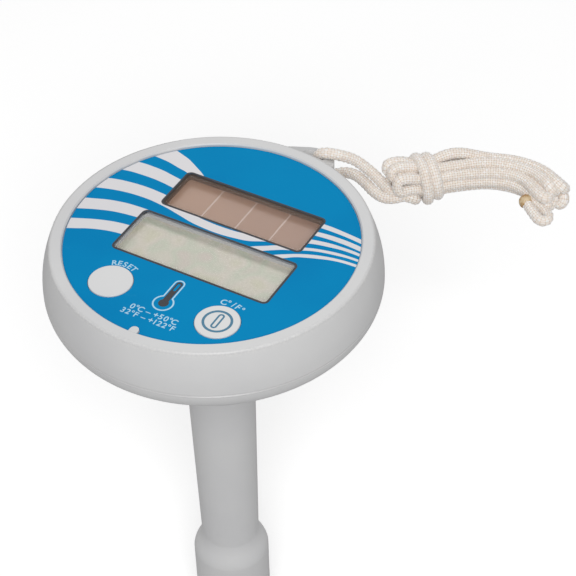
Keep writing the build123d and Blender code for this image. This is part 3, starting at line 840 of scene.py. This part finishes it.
def amorphous_cell():
    """A brown solar cell: rose-brown silicon, darker to the right, with pale scribed gaps."""
    material, tree, shader, spot = start("solar_cell")
    blotch, fine, _ = surface(tree, spot, 1200.0)
    x = node(tree, "SeparateXYZ", {0: spot}).outputs[0]
    shade = ramp(tree, x, *CELL_ENDS, smooth=False)
    tone = mixed(tree, shade, srgb(192, 154, 130), srgb(178, 143, 124))
    tone = tinted(tree, tone, srgb(170, 138, 122), ramp(tree, blotch, 0.3, 0.7), 0.35)
    for at in SCRIBED_GAPS:
        gap = sums(tree, "ABSOLUTE", sums(tree, "SUBTRACT", x, at))
        line = without(tree, ramp(tree, gap, 0.00018, 0.0003))
        tone = mixed(tree, line, tone, srgb(214, 190, 178))
    painted(tree, shader, tone, added(tree, 0.25, fine, 0.15))
    bumped(tree, shader, fine, 0.05, 0.00003)
    return material


def display():
    """The blank display: a grey-cream polariser with soft stress colours."""
    material, tree, shader, spot = start("display_glass")
    blotch, fine, _ = surface(tree, spot, 1600.0)
    wide = node(tree, "TexNoise", {"Vector": spot, "Scale": 85.0, "Detail": 1.0})
    band = node(tree, "ValToRGB", {0: wide.outputs["Fac"]})
    stops = band.color_ramp.elements
    stops[0].position = 0.34
    stops[0].color = srgb(212, 202, 190)
    stops[1].position = 0.66
    stops[1].color = srgb(212, 208, 182)
    for at, colour in ((0.45, srgb(204, 208, 188)), (0.55, srgb(220, 212, 198))):
        stops.new(at).color = colour
    tone = tinted(tree, band.outputs["Color"], srgb(200, 198, 184), ramp(tree, blotch, 0.3, 0.7),
                  0.3)
    painted(tree, shader, tone, added(tree, 0.22, fine, 0.12))
    bumped(tree, shader, fine, 0.04, 0.00003)
    return material


BETWEEN_WINDOWS = (0.0044, 0.0048)       # metres: above this the pane is the solar cell's


def clear_pane():
    """A clear window with faint smears, its dull side edges painted as shade: brown round the solar cell,
    grey round the display.
    """
    material, tree, shader, spot = start("clear_pane")
    blotch, _, scuff = surface(tree, spot, 900.0, 80.0)
    facing = node(tree, "SeparateXYZ", {0: node(tree, "NewGeometry").outputs["Normal"]}).outputs[2]
    upright = without(tree, ramp(tree, sums(tree, "ABSOLUTE", facing), 0.3, 0.6))
    by_cell = ramp(tree, node(tree, "SeparateXYZ", {0: spot}).outputs[1], *BETWEEN_WINDOWS)
    clear = mixed(tree, ramp(tree, blotch, 0.3, 0.7), srgb(52, 54, 56), srgb(70, 72, 74))
    # Painted shade: the side faces are brown round the solar cell and grey round the display, for the
    # shaded recess walls.
    painted_edge_shade = mixed(tree, by_cell, srgb(108, 102, 97), srgb(112, 90, 79))
    cover = added(tree, added(tree, 0.04, blotch, 0.03), scuff, 0.05)
    edge_shade_alpha = added(tree, 0.4, by_cell, 0.5)
    tree.links.new(added(tree, cover, upright, edge_shade_alpha), shader.inputs["Alpha"])
    painted(tree, shader, mixed(tree, upright, clear, painted_edge_shade), added(tree, 0.05, scuff, 0.2))
    material.surface_render_method = "BLENDED"
    return material


def braid_cord():
    """Braided white nylon: bright crossing picks over painted warm shade in the gaps, the picks that pass
    under a little darker as painted shade, no two picks quite alike.
    """
    material, tree, shader, spot = start("tether_rope")
    uv = node(tree, "TexCoord").outputs["UV"]
    parts = node(tree, "SeparateXYZ", {0: uv})
    along = sums(tree, "MULTIPLY", parts.outputs[0], math.pi / (STITCH_ROW * UV_PER_METRE))
    around = sums(tree, "MULTIPLY", parts.outputs[1], math.tau * STITCHES_ROUND)
    weave = sums(tree, "MULTIPLY", sums(tree, "COSINE", along), sums(tree, "COSINE", around))
    right_hand, left_hand = (
        sums(tree, "ROUND", sums(tree, "DIVIDE", sums(tree, how, along, around), math.tau))
        for how in ("ADD", "SUBTRACT"))
    strand = node(tree, "CombineXYZ", {0: right_hand, 1: left_hand}).outputs[0]
    pick = node(tree, "TexWhiteNoise", {"Vector": strand}, noise_dimensions="2D").outputs["Value"]
    blotch, fine, _ = surface(tree, spot, 2400.0)
    # Painted shade: warm beige in the gaps between the picks, and a little darker on the picks that pass
    # under.
    gap = ramp(tree, sums(tree, "ABSOLUTE", weave), 0.0, 0.30)
    lifted = ramp(tree, weave, -0.5, 0.6)
    patch = ramp(tree, blotch, 0.35, 0.7)
    gap_shade = mixed(tree, patch, srgb(206, 186, 166), srgb(230, 214, 198))
    under = mixed(tree, pick, srgb(238, 226, 214), srgb(252, 245, 238))
    top = mixed(tree, lifted, under, mixed(tree, pick, srgb(244, 236, 228), srgb(255, 254, 252)))
    painted(tree, shader, mixed(tree, gap, gap_shade, top), added(tree, 0.5, fine, 0.2))
    hair = node(tree, "TexWave", {"Vector": uv, "Scale": 2.6, "Distortion": 3.0, "Detail": 2.0},
                bands_direction="DIAGONAL")
    height = weave
    for texture, share in ((hair.outputs["Fac"], 0.35), (pick, 0.5), (fine, 0.5)):
        height = added(tree, height, texture, share)
    bumped(tree, shader, height, 0.5, 0.00015)
    shader.inputs["Sheen Weight"].default_value = 0.7
    shader.inputs["Sheen Roughness"].default_value = 0.5
    shader.inputs["Subsurface Weight"].default_value = 0.10
    shader.inputs["Subsurface Radius"].default_value = (0.0010, 0.0008, 0.0006)
    return material


def melted_nylon():
    """Nylon that has been melted and has set again: amber to cream, lumpy and half glossy."""
    material, tree, shader, spot = start("melted_rope")
    _, fine, _ = surface(tree, spot, 1400.0)
    wide = node(tree, "TexNoise", {"Vector": spot, "Scale": 420.0, "Detail": 3.0}).outputs["Fac"]
    tone = mixed(tree, ramp(tree, wide, 0.38, 0.62), srgb(176, 134, 78), srgb(214, 192, 156))
    painted(tree, shader, tone, added(tree, 0.2, wide, 0.2))
    bumped(tree, shader, sums(tree, "ADD", wide, fine), 0.3, 0.0001)
    return material


def brushed(name, colour, dark, rough):
    """Turned or drawn metal with fine lines round it and a few dull spots."""
    material, tree, shader, spot = start(name)
    blotch, _, _ = surface(tree, spot, 1500.0)
    stretched = node(tree, "Mapping", {"Vector": spot, "Scale": (1.0, 1.0, 40.0)}).outputs[0]
    lines = node(tree, "TexNoise", {"Vector": stretched, "Scale": 260.0, "Detail": 4.0})
    tone = mixed(tree, ramp(tree, blotch, 0.35, 0.7), dark, colour)
    shader.inputs["Metallic"].default_value = 1.0
    painted(tree, shader, tone, added(tree, rough - 0.1, lines.outputs["Fac"], 0.2))
    bumped(tree, shader, lines.outputs["Fac"], 0.15, 0.00005)
    return material


def board_green():
    """Solder-masked board with a faint pattern of tracks."""
    material, tree, shader, spot = start("circuit_board")
    blotch, fine, _ = surface(tree, spot, 1500.0)
    tracks = node(tree, "TexBrick", {"Vector": spot, "Scale": 260.0, "Mortar Size": 0.08,
                                     "Color1": srgb(26, 92, 56), "Color2": srgb(22, 84, 50),
                                     "Mortar": srgb(48, 124, 78)})
    tone = tinted(tree, tracks.outputs["Color"], srgb(18, 70, 44), blotch, 0.4)
    painted(tree, shader, tone, added(tree, 0.25, fine, 0.2))
    bumped(tree, shader, tracks.outputs["Fac"], 0.2, 0.00003)
    return material


WHITE = white_shell()
KEY = plastic("key_plastic", srgb(219, 219, 219), srgb(212, 213, 214), 0.36, grain=2200.0, bump=0.1)
BLUE = blue_film()
WHITE_INK = ink("white_ink", srgb(226, 224, 226), srgb(219, 218, 221))
DARK_INK = ink("dark_ink", srgb(30, 30, 36), srgb(40, 40, 46))
PALE_INK = ink("pale_blue_ink", srgb(176, 216, 236), srgb(160, 206, 230))
RING_INK = ink("blue_grey_ink", srgb(60, 118, 148), srgb(74, 130, 158))
CELL = amorphous_cell()
GLASS = display()
PANE = clear_pane()
SEAL = plastic("seal_rubber", srgb(58, 58, 60), srgb(44, 44, 46), 0.6)
TAPE = plastic("foam_tape", srgb(228, 226, 220), srgb(214, 212, 206), 0.7, grain=900.0, bump=0.4)
HOLDER = plastic("holder_plastic", srgb(226, 226, 222), srgb(216, 216, 212), 0.45)
BLACK = plastic("dark_plastic", srgb(36, 36, 38), srgb(26, 26, 28), 0.45)
BOARD = board_green()
TIN = brushed("tinned_metal", srgb(196, 198, 200), srgb(168, 170, 172), 0.32)
SCREW = brushed("screw_steel", srgb(176, 178, 182), srgb(146, 148, 152), 0.34)
BALLAST = brushed("ballast_steel", srgb(150, 152, 156), srgb(112, 112, 114), 0.45)
PROBE = brushed("probe_steel", srgb(204, 206, 208), srgb(180, 182, 186), 0.24)
RESIN = plastic("resin", srgb(30, 30, 32), srgb(18, 18, 20), 0.22, grain=700.0, bump=0.3)
LEAD = plastic("lead_jacket", srgb(216, 214, 208), srgb(200, 198, 192), 0.5, grain=1200.0, bump=0.25)
# Brown-grey film for the painted shade round the solar cell.
SHADE_FILM = plastic("painted_shade_film", srgb(132, 114, 102), srgb(116, 100, 90), 0.5)
ROPE = braid_cord()
MELTED = melted_nylon()

NODE_LOOKS = {
    WHITE: ["upper_shell", "lower_shell", "stem_tube", "sensor_guard"],
    KEY: ["reset_button", "unit_button"],
    BLUE: ["face_label"],
    PANE: ["solar_window", "lcd_window"],
    CELL: ["solar_cell"],
    GLASS: ["lcd_glass"],
    TAPE: ["solar_tape"],
    SEAL: ["shell_seal", "stem_gasket", "reset_key_seal", "unit_key_seal", "contact_strips"],
    HOLDER: ["lcd_holder", "lead_socket"],
    BLACK: ["reset_switch", "unit_switch", "reset_switch_plunger", "unit_switch_plunger",
            "chip_resistors"],
    BOARD: ["main_board"],
    TIN: ["storage_capacitor", "crystal_can", "solar_leads"],
    SCREW: ["board_screws", "stem_screws"],
    BALLAST: ["ballast_weight"],
    PROBE: ["sensor_probe"],
    RESIN: ["controller_blob", "probe_potting", "thermistor_bead"],
    LEAD: ["sensor_lead"],
}
for look, names in NODE_LOOKS.items():
    for name in names:
        for slot in nodes[name].material_slots:
            slot.material = look
PIECE_LOOKS = [
    (ROPE, [tether, short_strand]),
    (MELTED, [end_bead]),
    (SHADE_FILM, [shade_sleeve, ledge_shade]),
    (WHITE_INK, bands),
    (DARK_INK, borders + [icon_mercury]),
    (PALE_INK, [icon_outline, lettering]),
    (RING_INK, [ring_mark, pill_mark]),
]
for look, pieces in PIECE_LOOKS:
    for piece in pieces:
        piece.data.materials.clear()
        piece.data.materials.append(look)


# ---- stage ----------------------------------------------------------------------------------
def floor():
    """A plain pale floor at the guard's foot."""
    work = bmesh.new()
    bmesh.ops.create_grid(work, x_segments=4, y_segments=4, size=4.0)
    bmesh.ops.translate(work, verts=work.verts, vec=(0, 0, cad_box[0][2] - 0.0005))
    plane = finish_mesh(work, "floor")
    material, tree, shader, spot = start("floor_paint")
    cloudy = node(tree, "TexNoise", {"Vector": spot, "Scale": 3.0, "Detail": 2.0})
    seen = node(tree, "LightPath").outputs["Is Camera Ray"]
    pale = mixed(tree, cloudy.outputs["Fac"], (0.97, 0.97, 0.97, 1), (0.99, 0.99, 0.99, 1))
    tree.links.new(mixed(tree, seen, (0.55, 0.55, 0.55, 1), pale), shader.inputs["Base Color"])
    shader.inputs["Emission Color"].default_value = (1, 1, 1, 1)
    tree.links.new(sums(tree, "MULTIPLY", seen, 0.22), shader.inputs["Emission Strength"])
    shader.inputs["Roughness"].default_value = 0.9
    shader.inputs["Specular IOR Level"].default_value = 0.1
    plane.data.materials.append(material)


def area_light(name, place, target, size, power):
    """A round soft light that is turned towards a target."""
    data = bpy.data.lights.new(name, "AREA")
    data.shape = "DISK"
    data.size = size
    data.energy = power
    lamp = bpy.data.objects.new(name, data)
    lamp.location = place
    lamp.rotation_euler = (Vector(target) - Vector(place)).to_track_quat("-Z", "Y").to_euler()
    scene.collection.objects.link(lamp)


floor()
scene.world = bpy.data.worlds.new("studio")
scene.world.use_nodes = True
sky = scene.world.node_tree.nodes["Background"]
sky.inputs["Color"].default_value = (1.0, 1.0, 1.0, 1.0)
sky.inputs["Strength"].default_value = 0.5
area_light("front_key", (0.52, -0.80, 0.86), (0, 0, -0.03), 0.6, 8.0)
area_light("back_left", (-0.35, 0.62, 0.80), (0, 0, 0), 0.45, 1.5)
scene.view_settings.view_transform = "Standard"
